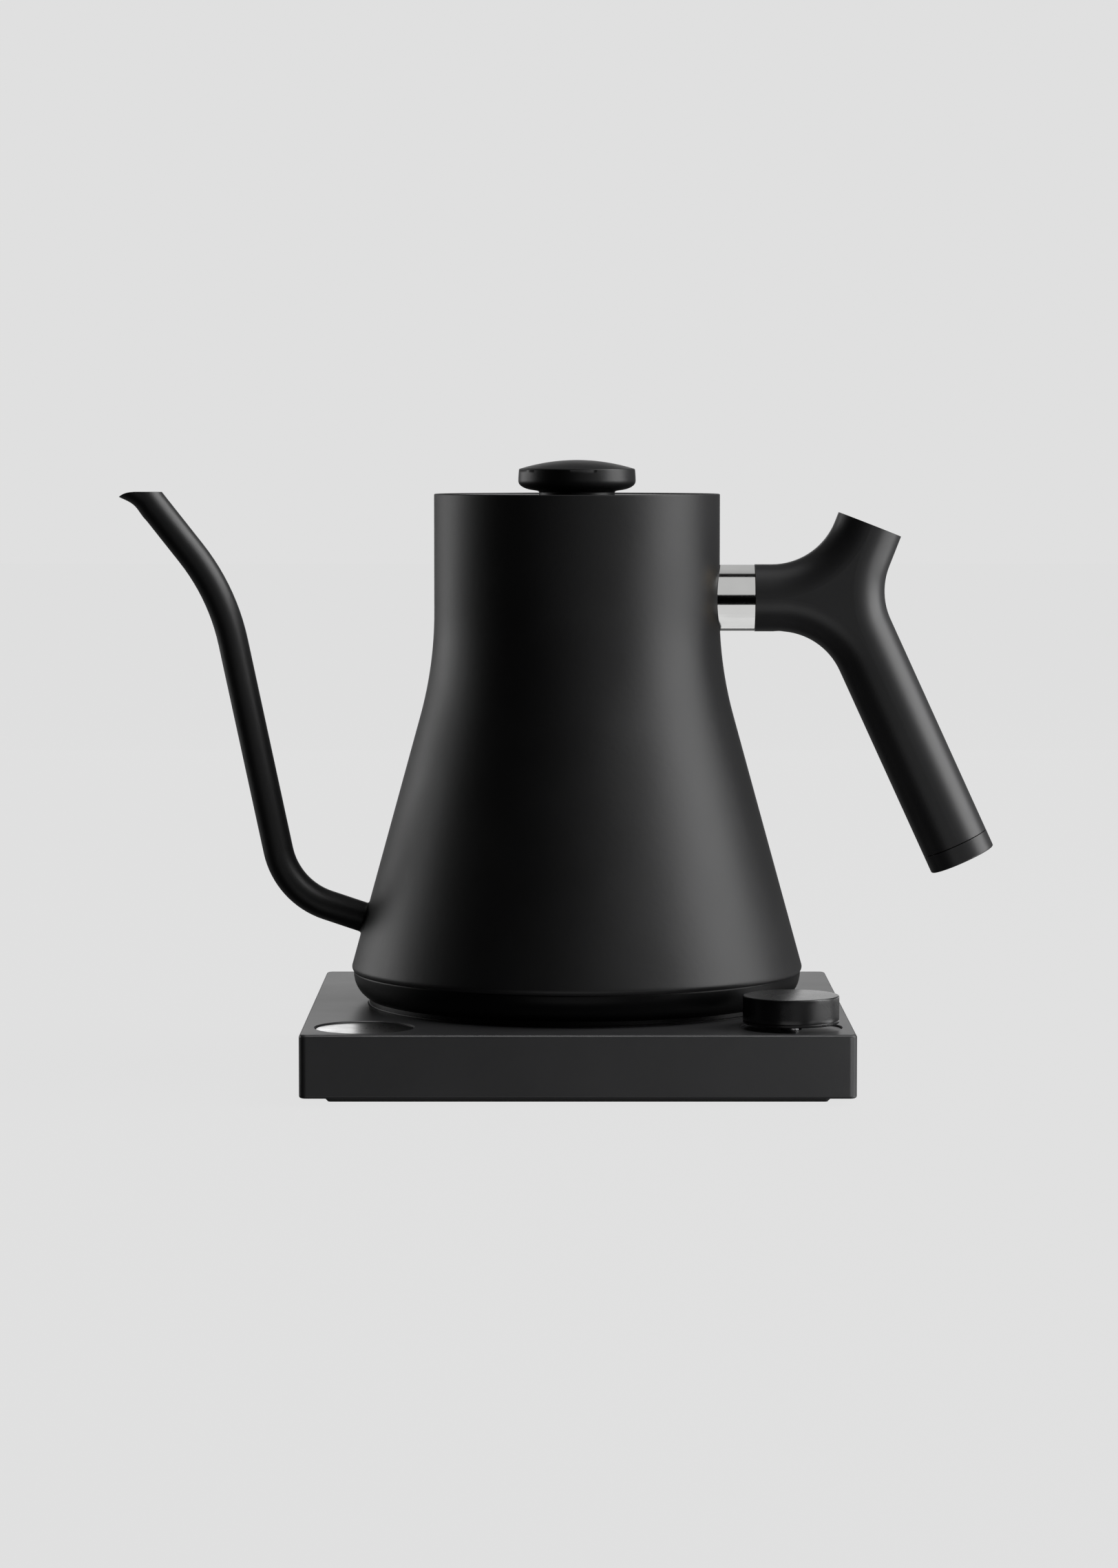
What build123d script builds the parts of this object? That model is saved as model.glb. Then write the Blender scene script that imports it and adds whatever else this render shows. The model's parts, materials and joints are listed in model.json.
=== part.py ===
from build123d import *
import os
from math import atan2, cos, degrees, pi, radians, sin, sqrt, tan

# An electric gooseneck kettle and the square power base that it lifts off.
# Lengths are millimetres and angles degrees. +Z is up, the spout points to -X, the handle to +X,
# and the display and the dial are at the front, at -Y. The origin is on the vessel's axis,
# on the surface that the base stands on.

# Clearances
fit_gap = 0.2              # between fixed pieces that drop into each other
moving_gap = 0.3           # between pieces on different bodies
shaft_gap = 0.05           # radial, round a turning shaft

# Vessel
neck_radius = 47.45
rim_radius = 75.7          # sharp lower corner of the cone
body_height = 159.3        # from the rim to the mouth
neck_length = 56.7         # from the mouth to where neck and cone would meet
flare_radius = 130.0       # blend between neck and cone
vessel_wall = 0.9
rim_rounding = 2.0
skirt_height = 9.7         # from the landing ring up to the rim
floor_height = 11.8        # from the rim up to the inside floor
floor_thickness = 0.8

# Spout, measured along its centre line
spout_radius = 5.0
spout_wall = 0.8
spout_root_height = 17.9   # where the centre line meets the wall, above the rim
spout_root_pitch = 18.6    # above the horizontal
spout_root_run = 27.4
spout_low_bend = 24.8
spout_lean = 11.95         # of the long middle run, from the vertical
spout_shoulder_drop = 32.8  # upper bend's corner below the mouth
spout_high_bend = 72.0
spout_tip_lean = 38.2
spout_tip_rise = 0.6       # of the cut end above the mouth
lip_reach = 2.3            # of the pouring lip beyond the straight tube
lip_length = 9.0           # length of tube that swells into the lip
lip_level = 3.0            # from the tube's axis to where the cut starts to droop
lip_droop_run = 4.9
lip_droop = 1.7
lip_wall = 0.5

# Handle
post_radius = 10.95
post_wall = 1.2
post_length = 11.6
handle_drop = 34.55        # handle's axis below the mouth
hub_reach = 29.65          # from the post to where the three arms meet
arm_step = 0.2             # of the arm's radius over the post's
grip_radius = 11.25
web_radius = 22.5          # hollow blend between two arms
stub_angle = 21.4          # of the short upper arm, from +Z towards +X
stub_length = 26.2
stub_set_back = 1.0        # of the upper arm's axis from the hub, towards the vessel
grip_angle = 24.65         # of the long lower arm, from -Z towards +X
grip_length = 96.0
cap_length = 6.0
cap_seam = 0.3
grip_bore = 7.4
weight_length = 42.0
insert_radius = 6.0
insert_length = 16.0
stud_radius = 4.0

# Lid
lid_thickness = 1.2
lid_recess = 0.4           # lid's top below the mouth
seat_width = 3.2
seat_thickness = 1.0
seat_skirt = 4.0
plug_depth = 13.0
plug_wall = 1.6
plug_top = 2.0
vent_radius = 1.5
vent_circle = 30.0
knob_radius = 19.5
knob_stem_radius = 12.6
knob_stem_height = 1.6
knob_flare = 2.2           # of the waist where it meets the underside
knob_belly = 3.8           # from the crease down to where the underside starts
knob_edge_height = 8.6     # knob's crease above the lid
knob_crown = 3.0           # dome above the crease
knob_screw_radius = 2.0
knob_insert_radius = 4.0

# Underside of the vessel
cover_wall = 2.0
cover_round = 9.5
foot_ring_width = 3.0
foot_overhang = 4.3        # of the foot ring beyond the flat of the cover
skirt_gap = 0.3            # between the cover and the inside of the rim
plate_radius = 51.0
plate_thickness = 4.0
element_radius = 40.0
element_tube = 3.3
element_sweep = 300.0
cutout_radius = 7.5
cutout_height = 6.0
probe_radius = 3.0
probe_rise = 6.0
probe_seal_wall = 1.0
cover_screw_circle = 57.0
cover_screw_radius = 1.5
cover_post_radius = 3.5
cover_boss_height = 4.0

# Cordless coupling: a tower of rings on the base, in a cup in the vessel
tower_radius = 10.8
tower_height = 9.2         # above the housing
tower_foot_radius = 18.0
tower_foot_height = 0.5
contact_radii = (4.85, 8.45)   # middle of the two ring contacts
contact_width = 0.5
contact_pin_radius = 1.5
contact_gap = 0.5
blade_width = 0.9
cup_wall = 7.6
cup_roof = 1.8
cup_gap = 0.4              # between the cup's rim and the washer
washer_width = 2.6
washer_thickness = 1.3

# Power base
plinth_inset = 8.8         # from the housing's side to the sole's lower edge
sole_thickness = 1.2
plinth_height = 2.1        # from the table to the housing
cover_thickness = 2.2
board_lift = 3.2
board_thickness = 1.6
component_height = 9.0     # tallest piece on a board
headroom = 1.7             # above it
housing_roof = 2.4
housing_wall = 2.2
housing_corner = 2.4
housing_edge = 1.0
edge_margin = 4.6          # from the dial to the housing's side
landing_width = 5.4
landing_height = 0.6
landing_sink = 1.0
landing_margin = 0.4       # of the landing ring beyond the foot ring
base_screw_radius = 1.5
base_screw_head = 2.8
base_screw_inset = 13.0
base_boss_radius = 4.0

# Dial and display
dial_radius = 15.4
dial_height = 9.0
dial_lift = 1.5            # above the housing at rest
dial_travel = 0.8
dial_wall = 1.6
dial_edge = 0.5
dial_recess = 0.6          # shallow round recess that the dial turns in
dial_recess_gap = 0.8
dial_to_vessel = 5.3
shaft_radius = 3.0
shaft_flat = 2.4           # from the axis to the flat
encoder_width = 12.0
encoder_height = 6.6
rotor_radius = 4.8
rotor_height = 2.0
display_radius = 15.6
lens_thickness = 1.5
lens_recess = 0.5

# Cord entry
cord_bore = 3.4
gland_radius = 5.2
gland_flange_radius = 7.2
gland_flange_thickness = 1.6
gland_length = 14.0

# Places that follow from the sizes above
cover_inside_z = plinth_height + fit_gap + cover_thickness
board_z = cover_inside_z + board_lift
board_top_z = board_z + board_thickness
roof_under_z = board_top_z + component_height + headroom
housing_top_z = roof_under_z + housing_roof
control_offset = (rim_radius + dial_to_vessel + dial_radius) / sqrt(2)
base_half = control_offset + dial_radius + edge_margin
cavity_half = base_half - housing_wall

rest_z = housing_top_z + landing_height
rim_z = rest_z + skirt_height
mouth_z = rim_z + body_height
flare_z = mouth_z - neck_length
lean = atan2(rim_radius - neck_radius, flare_z - rim_z)
floor_z = rim_z + floor_height
floor_under_z = floor_z - floor_thickness
plate_under_z = floor_under_z - plate_thickness

skirt_radius = rim_radius - vessel_wall - skirt_gap
foot_outer = skirt_radius - cover_round + foot_overhang
foot_inner = foot_outer - foot_ring_width
landing_outer = foot_outer + landing_margin
landing_inner = landing_outer - landing_width
cover_under_z = rim_z - cover_round
cover_floor_z = cover_under_z + cover_wall
boss_top_z = cover_floor_z + cover_boss_height
cover_head_z = boss_top_z - 1.6
cover_head_radius = cover_screw_radius * 1.9

tower_top_z = housing_top_z + tower_height
cup_radius = tower_radius + moving_gap + 0.1
cup_roof_z = tower_top_z + 1.2
washer_top_z = housing_top_z + tower_foot_height + washer_thickness
cup_bottom_z = washer_top_z + cup_gap
cup_outer = cup_radius + cup_wall
blade_top_z = housing_top_z + 4.0
contact_low_z = blade_top_z + moving_gap

neck_inside = neck_radius - vessel_wall
lid_top_z = mouth_z - lid_recess
lid_under_z = lid_top_z - lid_thickness
seat_inner = neck_inside - seat_width
plug_radius = seat_inner - 1.0
plug_bottom_z = lid_under_z - plug_depth
knob_crease_z = lid_top_z + knob_edge_height
insert_bottom_z = lid_top_z + 1
insert_top_z = knob_crease_z - 1.6

handle_z = mouth_z - handle_drop
arm_radius = post_radius + arm_step
post_end_x = neck_radius + post_length
hub_x = post_end_x + hub_reach
dial_top_z = housing_top_z + dial_lift + dial_height
cord_z = (cover_inside_z + roof_under_z) / 2


standing = (Align.CENTER, Align.CENTER, Align.MIN)


def disc(radius, bottom, top):
    """A round plate or pin about the vessel's axis."""
    return Pos(0, 0, bottom) * Cylinder(radius, top - bottom, align=standing)


def ring(inner, outer, bottom, top):
    return disc(outer, bottom, top) - disc(inner, bottom - 1, top + 1)


def slab(size_x, size_y, bottom, top, corner=0.0):
    """A flat block about the vessel's axis, with rounded upright corners."""
    block = Pos(0, 0, bottom) * Box(size_x, size_y, top - bottom, align=standing)
    return fillet(block.edges().filter_by(Axis.Z), corner) if corner else block


def turned(outline):
    """A solid of revolution about Z, from a closed outline in the XZ plane."""
    return revolve(make_face(Plane.XZ * outline), Axis.Z, 360)


def round_about(count, radius, start=0.0):
    """Places evenly spaced on a circle about the vessel's axis."""
    angles = [radians(start + 360 / count * i) for i in range(count)]
    return [Pos(radius * cos(a), radius * sin(a), 0) for a in angles]


def cone_radius(z):
    """Outside radius of the cone, carried on past the flare."""
    return neck_radius + (flare_z - z) * tan(lean)


def vessel_form(inset, bottom, top):
    """The solid inside the vessel's outer surface, taken in by inset."""
    inner_neck = neck_radius - inset
    corner = (inner_neck, flare_z - inset * tan(lean / 2))
    low = (cone_radius(bottom) - inset / cos(lean), bottom)
    side = FilletPolyline(low, corner, (inner_neck, top), radius=flare_radius + inset)
    ends = Polyline((inner_neck, top), (0, top), (0, bottom), low)
    return turned(side + ends)


# ---------------------------------------------------------------- vessel

def spout_points():
    """Corners of the spout's centre line, from inside the wall to past the tip."""
    root_z = rim_z + spout_root_height
    root = (-cone_radius(root_z), root_z)
    run = (cos(radians(spout_root_pitch)), sin(radians(spout_root_pitch)))
    inside = (root[0] + 6 * run[0], root[1] - 6 * run[1])
    low = (root[0] - spout_root_run * run[0], root[1] + spout_root_run * run[1])
    high_z = mouth_z - spout_shoulder_drop
    high = (low[0] - (high_z - low[1]) * tan(radians(spout_lean)), high_z)
    tip_z = mouth_z + spout_tip_rise
    tip = (high[0] - (tip_z - high_z) * tan(radians(spout_tip_lean)), tip_z)
    return inside, low, high, tip


def spout_run(radius):
    """The bent tube as a solid bar, up to where the lip begins."""
    inside, low, high, tip = spout_points()
    end = tip[0] - lip_length * tip_axis.X, tip[1] - lip_length * tip_axis.Z
    path = Plane.XZ * FilletPolyline(inside, low, high, end, radius=[spout_low_bend, spout_high_bend])
    return sweep(Plane(path @ 0, z_dir=path % 0) * Circle(radius), path=path)


# Distance past the tip along the tube, and share of the lip's reach that it has there
lip_growth = (
    (-lip_length, 0),
    (-lip_length * 0.96, 0),
    (-4.5, 0),
    (-0.7, 0.13),
    (1.8, 0.6),
    (3.6, 1),
    (6.5, 1.9),
)
tip_axis = Vector(-sin(radians(spout_tip_lean)), 0, cos(radians(spout_tip_lean)))


def lip_form(radius, reach):
    """The swollen end of the spout: round below, drawn out on its outer side towards the mouth."""
    tip_x, tip_z = spout_points()[3]
    sections = []
    for along, share in lip_growth:
        grown = reach * share
        across = Plane(Vector(tip_x, 0, tip_z) + tip_axis * along, x_dir=(0, 1, 0), z_dir=tip_axis)
        sections.append(across * Pos(0, grown / 2) * Ellipse(radius + grown * 0.08, radius + grown / 2))
    return loft(sections)


def lip_cutter():
    """Everything above the cut end: level at the back, drooping to the lip at the front."""
    tip_x, tip_z = spout_points()[3]
    droop_radius = (lip_droop_run ** 2 + lip_droop ** 2) / (2 * lip_droop)
    start = tip_x - lip_level
    droop = CenterArc((start, tip_z - droop_radius), droop_radius, 90, 75)
    low = droop @ 1
    back = Polyline((low.X, low.Y), (low.X - 20, low.Y), (low.X - 20, tip_z + 30), (start + 30, tip_z + 30),
                    (start + 30, tip_z), (start, tip_z))
    return extrude(make_face(Plane.XZ * (droop + back)), amount=20, both=True)


def make_spout():
    bore_radius = spout_radius - spout_wall
    bar = spout_run(spout_radius) + lip_form(spout_radius, lip_reach)
    bore = spout_run(bore_radius) + lip_form(bore_radius, lip_reach + spout_wall - lip_wall)
    return bar - vessel_form(0, rim_z, mouth_z) - lip_cutter() - bore


def make_vessel_body():
    outer = vessel_form(0, rim_z, mouth_z)
    outer = fillet(outer.edges().filter_by(GeomType.CIRCLE).group_by(Axis.Z)[0], rim_rounding)
    shell = outer - vessel_form(vessel_wall, rim_z - 1, mouth_z + 1)
    shell = fillet(shell.edges().filter_by(GeomType.CIRCLE).group_by(Axis.Z)[-1], vessel_wall * 0.42)
    return shell - spout_run(spout_radius - spout_wall)


def make_lid_seat_ring():
    top = lid_under_z
    flange = ring(seat_inner, neck_inside, top - seat_thickness, top)
    skirt = ring(neck_inside - seat_thickness, neck_inside, top - seat_skirt, top)
    return flange + skirt


def probe_place():
    return Pos(0, -(cup_outer + cutout_radius + 1.4), 0)


def make_vessel_floor():
    inside = vessel_form(vessel_wall, rim_z, mouth_z)
    plate = inside & disc(rim_radius, floor_under_z, floor_z)
    skirt = inside - vessel_form(vessel_wall + floor_thickness, rim_z - 1, mouth_z + 1)
    skirt = skirt & disc(rim_radius, floor_z - 7, floor_z)
    return plate + skirt - probe_place() * disc(probe_radius + probe_seal_wall, rim_z, mouth_z)


def make_heat_plate():
    plate = disc(plate_radius, plate_under_z, floor_under_z)
    return plate - probe_place() * disc(probe_radius + probe_seal_wall + 1, rim_z, mouth_z)


def make_heating_element():
    """A sheathed ring under the heat plate, open at the back, with a cold pin at each end."""
    z = plate_under_z - element_tube
    start = 90 + (360 - element_sweep) / 2
    path = Pos(0, 0, z) * CenterArc((0, 0), element_radius, start, element_sweep)
    tube = sweep(Plane(path @ 0, z_dir=path % 0) * Circle(element_tube), path=path)
    for end in (path @ 0, path @ 1):
        tube += Pos(end.X, end.Y, 0) * disc(element_tube * 0.5, cover_floor_z + 2.5, z)
    return tube


def make_thermal_cutouts():
    spread = cup_outer + cutout_radius + 0.6
    one = disc(cutout_radius, plate_under_z - cutout_height, plate_under_z)
    one = chamfer(one.edges().group_by(Axis.Z)[0], 1.0)
    return Compound([Pos(x, 0, 0) * one for x in (-spread, spread)])


def make_temperature_probe():
    stem = disc(probe_radius, plate_under_z - 5, floor_z + probe_rise)
    return probe_place() * fillet(stem.edges().group_by(Axis.Z)[-1], probe_radius * 0.8)


def make_probe_seal():
    wall = ring(probe_radius, probe_radius + probe_seal_wall, floor_under_z - 1.5, floor_z + 1)
    collar = ring(probe_radius, probe_radius + probe_seal_wall + 2, floor_z, floor_z + 1)
    return probe_place() * (wall + collar)


def make_cover_posts():
    post = disc(cover_post_radius, boss_top_z, floor_under_z)
    post -= disc(cover_screw_radius, cover_floor_z, floor_under_z - 3)
    return Compound([place * post for place in round_about(3, cover_screw_circle, 30)])


def cover_screw():
    head = disc(cover_head_radius, cover_head_z - 2.0, cover_head_z)
    slot = slab(cover_screw_radius * 2.6, 0.7, cover_head_z - 2.5, cover_head_z - 1.2)
    slot += slab(0.7, cover_screw_radius * 2.6, cover_head_z - 2.5, cover_head_z - 1.2)
    return head + disc(cover_screw_radius, cover_head_z, cover_head_z + 9) - slot


def make_cover_screws():
    return Compound([place * cover_screw() for place in round_about(3, cover_screw_circle, 30)])


def make_vessel_bottom_cover():
    """The black dish that closes the vessel's underside, with the ring it stands on."""
    top = rim_z + rim_rounding

    def dish(radius, bottom, rounding, top_z):
        side = Polyline((0, top_z), (radius, top_z), (radius, bottom + rounding))
        turn = RadiusArc((radius, bottom + rounding), (radius - rounding, bottom), rounding)
        back = Polyline((radius - rounding, bottom), (0, bottom), (0, top_z))
        return turned(side + turn + back)

    shell = dish(skirt_radius, cover_under_z, cover_round, top)
    shell -= dish(skirt_radius - cover_wall, cover_floor_z, cover_round - cover_wall, top + 1)
    foot = ring(foot_inner, foot_outer, rest_z, cover_floor_z - 0.5)
    foot -= dish(skirt_radius - 0.6, cover_under_z + 0.6, cover_round - 0.6, top)
    shell += foot
    for place in round_about(3, cover_screw_circle, 30):
        shell += place * disc(cover_head_radius + 2, cover_floor_z - 0.5, boss_top_z)
        shell -= place * disc(cover_head_radius + fit_gap, rest_z, cover_head_z)
        shell -= place * disc(cover_screw_radius + fit_gap, rest_z, mouth_z)
    shell -= disc(cup_outer + fit_gap, rest_z, mouth_z)
    return shell & vessel_form(vessel_wall + fit_gap, rest_z, mouth_z)


def make_coupler_cup():
    """The vessel's half of the coupling: a cup that drops over the tower."""
    roof = cup_roof_z + cup_roof
    body = disc(cup_outer, cup_bottom_z, roof)
    body += ring(cup_radius + 1, cup_outer + 3, cover_floor_z, cover_floor_z + 2)
    cup = body - disc(cup_radius, cup_bottom_z - 1, cup_roof_z)
    mouth_edge = cup.edges().filter_by(GeomType.CIRCLE).group_by(Axis.Z)[0].sort_by(SortBy.RADIUS)[0]
    cup = chamfer(mouth_edge, 0.8)
    return cup - cup_contact_forms()


def cup_contact_forms():
    """A pin and two rings that hang from the cup's roof, each with a blade up through it."""
    low = contact_low_z
    top = cup_roof_z + cup_roof + 2
    forms = [fillet(disc(contact_pin_radius, low, top).edges().group_by(Axis.Z)[0], contact_pin_radius * 0.8)]
    for radius, side in zip(contact_radii, (-1, 1)):
        band = ring(radius - contact_width / 2, radius + contact_width / 2, low, cup_roof_z + cup_roof * 0.5)
        blade = Pos(side * radius, 0, 0) * slab(contact_width * 0.8, 3, cup_roof_z, top)
        forms.append(band + blade)
    return forms


def make_coupler_contacts():
    return Compound(cup_contact_forms())


# ---------------------------------------------------------------- handle

# Angle from +X, length and half width of the three arms, and how far each axis is set back from the hub
arms = (
    (180, hub_reach, arm_radius, 0),
    (90 - stub_angle, stub_length, arm_radius, stub_set_back),
    (grip_angle - 90, grip_length, grip_radius, 0),
)


def arm_outline(angle, length, half_width, set_back):
    """A straight arm in the XZ plane, from the hub outwards."""
    box = Rectangle(length, 2 * half_width, align=(Align.MIN, Align.CENTER))
    return Pos(hub_x - set_back, handle_z) * Rot(0, 0, angle) * box


def handle_form():
    """The whole three-armed handle, grip and cap together, with fully rounded sides."""
    outline = Sketch() + [arm_outline(*arm) for arm in arms]
    hub = Vector(hub_x, handle_z)
    webs = [v for v in outline.vertices() if (Vector(v.X, v.Y) - hub).length < stub_length * 0.8]
    outline = fillet(webs, web_radius)
    solid = extrude(Plane.XZ * outline, amount=arm_radius, both=True)
    long_edges = [
        e for e in solid.edges()
        if abs(abs(e.center().Y) - arm_radius) < 0.01 and not is_arm_end(e)
    ]
    return fillet(long_edges, arm_radius - 0.12)


def arm_ends():
    """Middle point and outward direction of the three flat ends."""
    ends = []
    for angle, length, _, set_back in arms:
        out = Vector(cos(radians(angle)), 0, sin(radians(angle)))
        ends.append((Vector(hub_x - set_back, 0, handle_z) + out * length, out))
    return ends


def is_arm_end(edge):
    return any(
        abs((edge.center() - Vector(0, edge.center().Y, 0) - middle).dot(out)) < 0.01
        and abs(edge.tangent_at(0).dot(out)) < 0.01
        for middle, out in arm_ends()
    )


def grip_plane(from_end):
    """A plane across the grip, facing its far end."""
    middle, out = arm_ends()[2]
    return Plane(middle - out * from_end, x_dir=(0, 1, 0), z_dir=out)


def beyond(plane):
    return extrude(plane * Rectangle(80, 80), amount=60)


def along_grip(radius, start, end):
    """A round bar in the grip, between two distances from its far end."""
    return extrude(grip_plane(end) * Circle(radius), amount=end - start)


def along_post(radius, start, end):
    """A round bar on the post's axis, between two X positions."""
    return extrude(Plane((start, 0, handle_z), z_dir=(1, 0, 0)) * Circle(radius), amount=end - start)


def make_handle_post():
    start = neck_radius * 0.9
    tube = along_post(post_radius, start, post_end_x)
    tube -= along_post(post_radius - post_wall, start - 1, post_end_x + 1)
    return tube - vessel_form(0, rim_z, mouth_z)


def make_handle_stud():
    """The threaded stud that is welded to the neck and carries the handle."""
    start = neck_radius * 0.9
    flange = along_post(post_radius - post_wall - 1, start, neck_radius + 3)
    shank = along_post(stud_radius, start, post_end_x + insert_length - 2)
    stud = flange + shank - vessel_form(0, rim_z, mouth_z)
    return chamfer(stud.edges().sort_by(Axis.X)[-1], 0.6)


def make_handle_insert():
    bar = along_post(insert_radius, post_end_x - 4, post_end_x + insert_length)
    collar = along_post(post_radius - post_wall - fit_gap, post_end_x - 4, post_end_x)
    bore = along_post(stud_radius, post_end_x - 5, post_end_x + insert_length - 1.5)
    screw = Pos(post_end_x + 8, 0, 0) * disc(2.0, handle_z - 2 * arm_radius, handle_z)
    return bar + collar - bore - screw


def make_handle_set_screw():
    x = post_end_x + 8
    screw = disc(2.0, handle_z - arm_radius + 1.5, handle_z - stud_radius - 0.05)
    socket = extrude(Pos(0, 0, handle_z - arm_radius + 1.4) * RegularPolygon(1.1, 6), amount=2)
    return Pos(x, 0, 0) * (screw - socket)


def make_handle_grip():
    grip = handle_form() - beyond(grip_plane(cap_length + cap_seam))
    grip -= along_grip(grip_bore, 0, cap_length + weight_length + 14)
    grip -= along_post(insert_radius, post_end_x - 1, post_end_x + insert_length)
    return grip - Pos(post_end_x + 8, 0, 0) * disc(2.0, handle_z - 2 * arm_radius, handle_z)


def make_handle_end_cap():
    cap = handle_form() & beyond(grip_plane(cap_length))
    rim = cap.edges().filter_by(lambda e: abs((e.center() - arm_ends()[2][0]).dot(arm_ends()[2][1])) < 0.01)
    cap = fillet(rim, 0.5)
    return cap + along_grip(grip_bore - fit_gap, cap_length, cap_length + 7)


def make_grip_weight():
    start = cap_length + 7
    return along_grip(grip_bore, start, start + weight_length)


# ---------------------------------------------------------------- lid

def vents(bottom, top):
    """Three steam holes on the spout's side of the lid."""
    angles = [radians(a) for a in (160, 180, 200)]
    drill = disc(vent_radius, bottom, top)
    return [Pos(vent_circle * cos(a), vent_circle * sin(a), 0) * drill for a in angles]


def make_lid_disc():
    plate = disc(neck_inside - moving_gap - 0.1, lid_under_z, lid_top_z)
    plate = fillet(plate.edges().group_by(Axis.Z)[-1], lid_thickness * 0.35)
    plate -= disc(knob_screw_radius + fit_gap, lid_under_z - 1, lid_top_z + 1)
    return plate - vents(lid_under_z - 1, lid_top_z + 1)


def make_lid_plug():
    cup = disc(plug_radius, plug_bottom_z, lid_under_z)
    cup -= disc(plug_radius - plug_wall, plug_bottom_z - 1, lid_under_z - plug_top)
    groove_z = plug_bottom_z + plug_depth * 0.3
    cup -= ring(plug_radius - 0.6, plug_radius + 1, groove_z, groove_z + 3)
    cup -= disc(knob_screw_radius + fit_gap, lid_under_z - plug_top - 1, lid_under_z + 1)
    return cup - vents(plug_bottom_z, lid_under_z + 1)


def make_lid_seal():
    """A silicone band in the plug's groove, with two soft lips."""
    groove_z = plug_bottom_z + plug_depth * 0.3
    band = ring(plug_radius - 0.6, plug_radius + 0.1, groove_z, groove_z + 3)
    for z in (groove_z + 0.4, groove_z + 2.0):
        band += ring(plug_radius - 0.6, seat_inner - moving_gap, z, z + 0.6)
    return band


def make_lid_bottom_plate():
    plate = disc(plug_radius - plug_wall, plug_bottom_z, plug_bottom_z + 1)
    return plate - vents(plug_bottom_z - 1, plug_bottom_z + 2)


def make_lid_screw():
    head_z = lid_under_z - plug_top
    head = disc(knob_screw_radius * 2, head_z - 2.4, head_z)
    head -= slab(knob_screw_radius * 2.6, 0.9, head_z - 3, head_z - 1.4)
    head -= slab(0.9, knob_screw_radius * 2.6, head_z - 3, head_z - 1.4)
    return head + disc(knob_screw_radius, head_z, insert_top_z - 0.8)


def insert_groove():
    """The groove round the knob's insert, which the moulded knob fills."""
    middle = (insert_bottom_z + insert_top_z) / 2
    return ring(knob_insert_radius - 0.5, knob_insert_radius, middle - 0.6, middle + 0.6)


def make_knob_insert():
    body = disc(knob_insert_radius, insert_bottom_z, insert_top_z)
    body -= disc(knob_screw_radius, insert_bottom_z - 1, insert_top_z - 0.8)
    return body - insert_groove()


def make_knob():
    """A shallow domed button on a short waist."""
    low = lid_top_z
    crown = knob_crease_z + knob_crown
    waist_top = low + knob_stem_height
    underside = knob_stem_radius + knob_flare
    belly = knob_crease_z - knob_belly
    crease_radius = knob_radius - 0.25
    flare_out = Spline(
        (knob_stem_radius, low), (knob_stem_radius, waist_top - 0.7), (underside, waist_top),
        tangents=((0, 1), (1, 0.15)),
    )
    under = Spline(
        (underside, waist_top), (knob_radius - 0.9, waist_top + 1.4), (knob_radius, belly),
        tangents=((1, 0.15), (0, 1)),
    )
    side = RadiusArc((knob_radius, belly), (crease_radius, knob_crease_z), -40)
    dome_radius = (knob_radius ** 2 + knob_crown ** 2) / (2 * knob_crown)
    dome = RadiusArc((crease_radius, knob_crease_z), (0, crown), -dome_radius)
    close = Polyline((0, crown), (0, low), (knob_stem_radius, low))
    knob = turned(flare_out + under + side + dome + close)
    rings = knob.edges().filter_by(GeomType.CIRCLE)
    knob = fillet(rings.sort_by(lambda e: abs(e.center().Z - knob_crease_z))[0], 0.5)
    return knob - disc(knob_insert_radius, low - 1, insert_top_z) + insert_groove()


# ---------------------------------------------------------------- power base

def housing_block():
    block = slab(2 * base_half, 2 * base_half, plinth_height, housing_top_z, housing_corner)
    block = fillet(block.edges().group_by(Axis.Z)[-1], housing_edge)
    return fillet(block.edges().group_by(Axis.Z)[0], housing_edge * 0.8)


def base_screw_places():
    """Two screws in the rear corners and two between the display and the dial."""
    reach = cavity_half - base_screw_inset
    front = control_offset * 0.45
    return [Pos(-reach, reach, 0), Pos(reach, reach, 0), Pos(-front, -reach, 0), Pos(front, -reach, 0)]


def dial_place():
    return Pos(control_offset, -control_offset, 0)


def display_place():
    return Pos(-control_offset, -control_offset, 0)


def gland_bar(radius, start, end):
    """A round bar along the cord's axis, between two Y positions."""
    return extrude(Plane((0, start, cord_z), z_dir=(0, 1, 0)) * Circle(radius), amount=end - start)


def make_housing():
    shell = housing_block()
    shell -= slab(2 * cavity_half, 2 * cavity_half, plinth_height - 1, roof_under_z, housing_corner * 0.4)
    for place in base_screw_places():
        shell += place * disc(base_boss_radius, cover_inside_z + fit_gap, roof_under_z + 0.5)
        shell -= place * disc(base_screw_radius, cover_inside_z, roof_under_z)
    seat_z = housing_top_z - landing_sink
    shell -= ring(landing_inner - fit_gap, landing_outer + fit_gap, seat_z, housing_top_z + 1)
    shell -= disc(tower_foot_radius + fit_gap, roof_under_z - 1, housing_top_z + 1)
    shell -= dial_place() * disc(shaft_radius + moving_gap + 0.2, roof_under_z - 1, housing_top_z + 1)
    recess_z = housing_top_z - dial_recess
    shell -= dial_place() * disc(dial_radius + dial_recess_gap, recess_z, housing_top_z + 1)
    shell -= display_place() * disc(display_radius + fit_gap, roof_under_z - 1, housing_top_z + 1)
    control_rims = [
        e for e in shell.edges().filter_by(GeomType.CIRCLE)
        if e.radius < tower_foot_radius and abs(e.center().Z - housing_top_z) < 0.01
    ]
    shell = chamfer(control_rims, 0.35)
    return shell - gland_bar(gland_radius + fit_gap, cavity_half - 1, base_half + 1)


def make_landing_ring():
    band = ring(landing_inner, landing_outer, housing_top_z - landing_sink, rest_z)
    return fillet(band.edges().group_by(Axis.Z)[-1], 0.3)


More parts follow.
